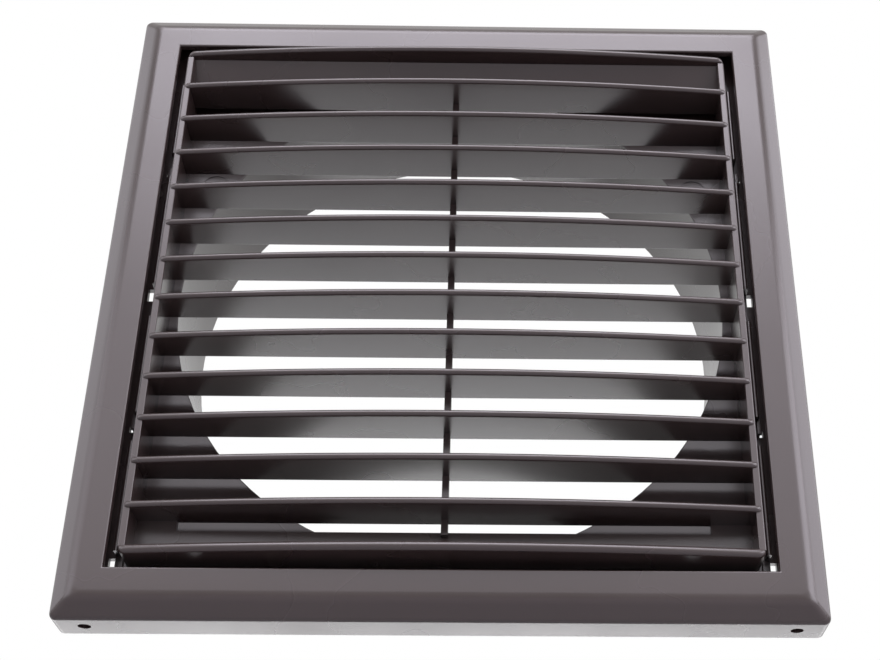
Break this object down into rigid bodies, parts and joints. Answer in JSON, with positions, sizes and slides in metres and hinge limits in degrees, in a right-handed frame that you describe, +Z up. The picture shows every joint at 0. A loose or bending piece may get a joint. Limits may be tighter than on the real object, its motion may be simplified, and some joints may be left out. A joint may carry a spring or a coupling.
{
  "type": "fixed louvre vent grille",
  "caption": "Square wall vent grille with a bevelled cover frame, bowed fixed louvre blades and a round spigot behind that pushes into a duct.",
  "frame": {"origin": "where the axis of the round spigot meets the wall plane, which is the back of the frame, the base's skirt and the tray", "axes": "+X to the right seen from the front, +Y into the wall along the spigot, +Z up, so the louvres face -Y"},
  "size_m": [0.182, 0.0555, 0.182],
  "materials": {
    "brown_plastic": "dark brown moulded plastic with a satin sheen"
  },
  "bodies": {
    "root": {"outer_frame": "brown_plastic", "louvre_panel": "brown_plastic", "spigot_base": "brown_plastic"}
  },
  "joints": []
}
